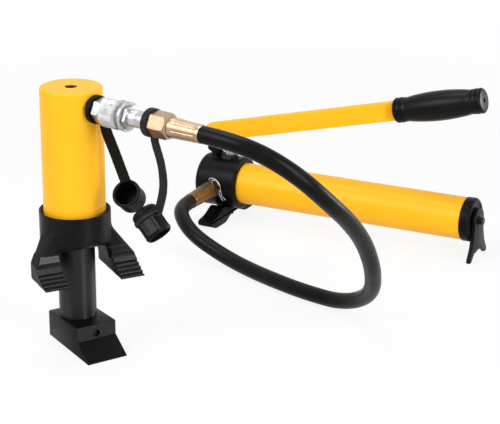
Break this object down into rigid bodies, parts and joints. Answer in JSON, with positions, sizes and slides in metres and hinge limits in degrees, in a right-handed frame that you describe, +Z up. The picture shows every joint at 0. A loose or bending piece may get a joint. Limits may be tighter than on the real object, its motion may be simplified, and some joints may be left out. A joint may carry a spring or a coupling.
{
  "type": "hydraulic door breaker",
  "caption": "Standing spreader cylinder with ridged claws and a wedge foot, driven through a quick coupler and hose by a lever hand pump.",
  "frame": {"origin": "on the floor, in the middle of the footprint of the tool and the pump, without the hose", "axes": "+Z up; +Y from the spreader towards the pump; +X along the pump from its head to its rear foot"},
  "size_m": [0.4456, 0.6738, 0.329],
  "materials": {
    "yellow_paint": "satin enamel",
    "black_paint": "satin black",
    "black_oxide": "blackened steel",
    "zinc_plate": "bright zinc plate",
    "steel": "turned steel",
    "brass": "machined brass",
    "bronze": "bearing bronze",
    "hose_rubber": "matt hose cover",
    "cap_rubber": "satin moulded rubber",
    "seal_rubber": "seal rubber",
    "grip_plastic": "moulded grip",
    "white_tape": "thread tape"
  },
  "bodies": {
    "body": {"spring_hanger": "steel", "return_spring": "steel", "cylinder_barrel": "yellow_paint", "guide_bush": "bronze", "jaw_collar": "black_paint", "rod_wiper": "seal_rubber", "coupler_nipple": "zinc_plate", "coupler_socket": "zinc_plate", "nipple_poppet": "steel", "socket_poppet": "steel", "hose_nut": "brass", "hose_ferrule_tool": "brass", "pump_adapter": "brass", "thread_tape": "white_tape", "hose_ferrule_pump": "brass", "hose": "hose_rubber", "reservoir_tube": "yellow_paint", "rear_end_cap": "black_paint", "tube_o_rings": "seal_rubber", "front_foot": "black_paint", "pump_head": "black_paint", "front_foot_bolt": "black_oxide", "rear_foot": "black_paint", "filler_washer": "black_oxide", "filler_plug": "black_oxide", "fulcrum_pin": "steel", "fulcrum_pin_clips": "steel", "plunger_gland": "black_oxide", "plunger_seal": "seal_rubber", "delivery_spring": "steel", "delivery_plug": "black_oxide", "suction_pipe": "steel", "suction_strainer": "brass", "relief_valve_plug": "black_oxide"},
    "ram_and_wedge": {"ram": "black_oxide", "ram_piston": "steel", "piston_seal": "seal_rubber", "piston_wear_ring": "bronze", "spring_base": "steel", "wedge_foot": "black_paint", "wedge_set_screw": "black_oxide"},
    "handle": {"handle_bar": "yellow_paint", "handle_grip": "grip_plastic", "plunger_pin": "steel", "plunger_pin_clips": "steel"},
    "plunger_rod": {"plunger": "steel", "plunger_fork": "brass"},
    "release_screw": {"release_spindle": "steel", "release_knob": "grip_plastic"},
    "screw_sleeve": {"coupler_sleeve": "zinc_plate"},
    "tool_dust_cap": {"dust_cap_tool": "cap_rubber"},
    "hose_dust_cap": {"dust_cap_hose": "cap_rubber"},
    "suction_valve_ball": {"suction_ball": "steel"},
    "delivery_valve_ball": {"delivery_ball": "steel"}
  },
  "joints": [
    {"name": "ram_slide", "type": "slide", "parent": "body", "child": "ram_and_wedge", "axis": [0, 0, -1], "range_m": [-0.08, 0.028], "deforming": ["return_spring"]},
    {"name": "handle_swing", "type": "hinge", "parent": "body", "child": "handle", "pos_m": [-0.1985, 0.257, 0.122], "axis": [0, -1, 0], "range_deg": [-12, 30]},
    {"name": "plunger_slide", "type": "slide", "parent": "body", "child": "plunger_rod", "axis": [0, 0, 1], "range_m": [-0.0046, 0.0111]},
    {"name": "release_turn", "type": "hinge", "parent": "body", "child": "release_screw", "pos_m": [-0.196, 0.30135, 0.054], "axis": [0, 1, 0], "range_deg": [0, 270]},
    {"name": "sleeve_turn", "type": "hinge", "parent": "body", "child": "screw_sleeve", "pos_m": [-0.124, -0.25, 0.308], "axis": [0.9785, -0.2062, 0], "continuous": true},
    {"name": "tool_cap_swing", "type": "hinge", "parent": "body", "child": "tool_dust_cap", "pos_m": [-0.124, -0.25, 0.308], "axis": [0.9785, -0.2062, 0], "range_deg": [-40, 40]},
    {"name": "hose_cap_swing", "type": "hinge", "parent": "body", "child": "hose_dust_cap", "pos_m": [-0.124, -0.25, 0.308], "axis": [0.9785, -0.2062, 0], "range_deg": [-40, 40]},
    {"name": "suction_ball_lift", "type": "slide", "parent": "body", "child": "suction_valve_ball", "axis": [-1, 0, 0], "range_m": [0, 0.002]},
    {"name": "delivery_ball_lift", "type": "slide", "parent": "body", "child": "delivery_valve_ball", "axis": [0, 0, 1], "range_m": [0, 0.002], "stiffness_N_per_m": 100, "springref_m": -0.003, "deforming": ["delivery_spring"]}
  ],
  "couplings": [
    {"joint": "plunger_slide", "follows": "handle_swing", "m_per_rad": 0.02075}
  ]
}
